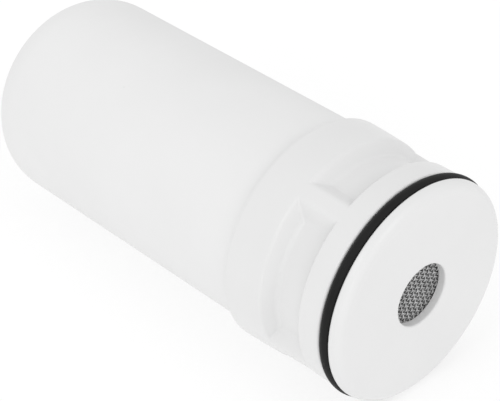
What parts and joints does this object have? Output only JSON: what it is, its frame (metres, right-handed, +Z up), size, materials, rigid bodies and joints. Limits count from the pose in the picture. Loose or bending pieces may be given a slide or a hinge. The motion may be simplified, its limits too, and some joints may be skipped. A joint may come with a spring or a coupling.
{
  "type": "water filter cartridge",
  "caption": "Domed white ceramic filter candle bonded into a moulded base with recessed sides, a seal ring, and a round outlet port behind a woven screen.",
  "frame": {"origin": "centre of the outlet face, on the cartridge's axis", "axes": "+X out of the outlet port along the axis, +Z up with the cartridge on its side, dome towards -X"},
  "size_m": [0.108, 0.047, 0.047],
  "materials": {
    "ceramic_shell": "matte",
    "base_plastic": "satin",
    "seal_rubber": "satin",
    "steel_wire": "satin",
    "clear_white_plastic": "satin",
    "adhesive": "satin",
    "soft_gasket": "matte",
    "pad_fibre": "matte",
    "mineral_ceramic": "matte",
    "sulfite_ceramic": "matte",
    "copper_zinc": "matte",
    "carbon_granules": "matte"
  },
  "bodies": {
    "root": {"ceramic_candle": "ceramic_shell", "base_cup": "base_plastic", "outlet_disc": "base_plastic", "o_ring": "seal_rubber", "outlet_screen": "steel_wire", "screen_retainer": "clear_white_plastic", "potting_ring": "adhesive", "foot_gasket": "soft_gasket", "media_retainer": "clear_white_plastic", "retainer_screen": "steel_wire", "plug_pad": "pad_fibre", "polishing_pad": "pad_fibre", "mineral_pad": "pad_fibre", "mineral_balls": "mineral_ceramic", "sulfite_pad": "pad_fibre", "sulfite_balls": "sulfite_ceramic", "kdf_pad": "pad_fibre", "kdf_bed": "copper_zinc", "carbon_pad": "pad_fibre", "carbon_bed": "carbon_granules", "dome_pad": "pad_fibre"}
  },
  "joints": []
}
